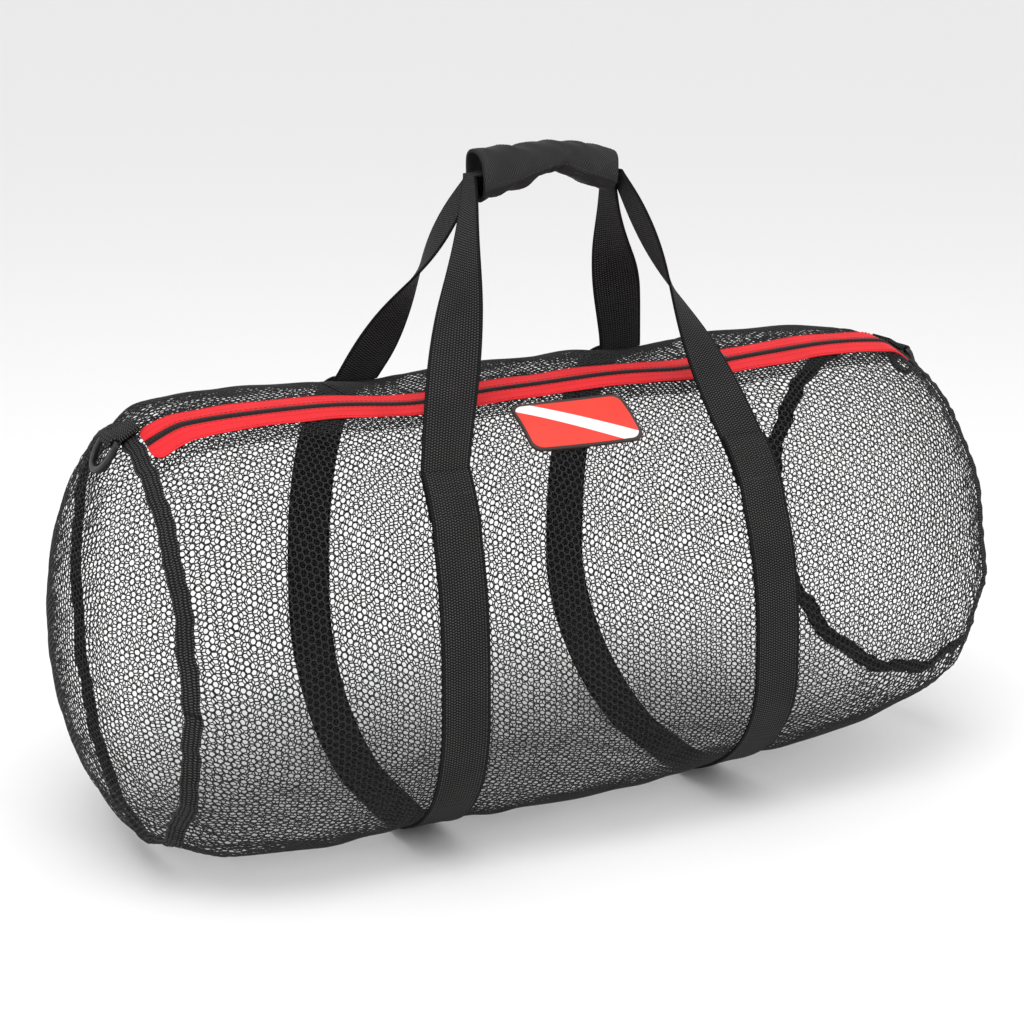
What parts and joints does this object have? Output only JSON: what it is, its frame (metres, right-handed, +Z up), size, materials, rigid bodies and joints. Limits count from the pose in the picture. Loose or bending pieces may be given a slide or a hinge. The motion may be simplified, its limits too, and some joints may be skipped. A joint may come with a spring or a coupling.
{
  "type": "mesh dive gear bag",
  "caption": "Cylindrical mesh duffel bag with gathered net ends, a red zip along the top, two webbing straps and carry handles joined by a grip, a rubber patch and end D-rings.",
  "frame": {"origin": "on the floor under the middle of the bag", "axes": "+X along the bag, -Y to the front with the patch, +Z up"},
  "size_m": [0.7536, 0.369, 0.5028],
  "materials": {
    "net": "open hexagonal polyester net",
    "webbing": "ribbed flat webbing",
    "zip_tape": "woven tape",
    "zip_coil": "nylon coil",
    "grip_cloth": "woven cloth",
    "patch_rubber": "moulded, with a white diagonal stripe",
    "ring_plastic": "moulded"
  },
  "bodies": {
    "bag": {"net_body": "net", "end_cap_left": "net", "end_cap_right": "net", "end_binding_left": "webbing", "end_binding_right": "webbing", "zip_tape_front": "zip_tape", "zip_tape_back": "zip_tape", "zip_coil": "zip_coil", "zip_slider": "zip_coil", "strap_left": "webbing", "strap_right": "webbing", "handle_front": "webbing", "handle_back": "webbing", "grip_wrap": "grip_cloth", "patch": "patch_rubber", "dring_tab_left": "webbing", "dring_tab_right": "webbing"},
    "ring_left": {"dring_left": "ring_plastic"},
    "ring_right": {"dring_right": "ring_plastic"}
  },
  "joints": [
    {"name": "dring_left_swing", "type": "hinge", "parent": "bag", "child": "ring_left", "pos_m": [-0.33706, -0.01, 0.31321], "axis": [0, 1, 0], "range_deg": [0, 150]},
    {"name": "dring_right_swing", "type": "hinge", "parent": "bag", "child": "ring_right", "pos_m": [0.34804, -0.01, 0.31863], "axis": [0, -1, 0], "range_deg": [0, 150]}
  ]
}
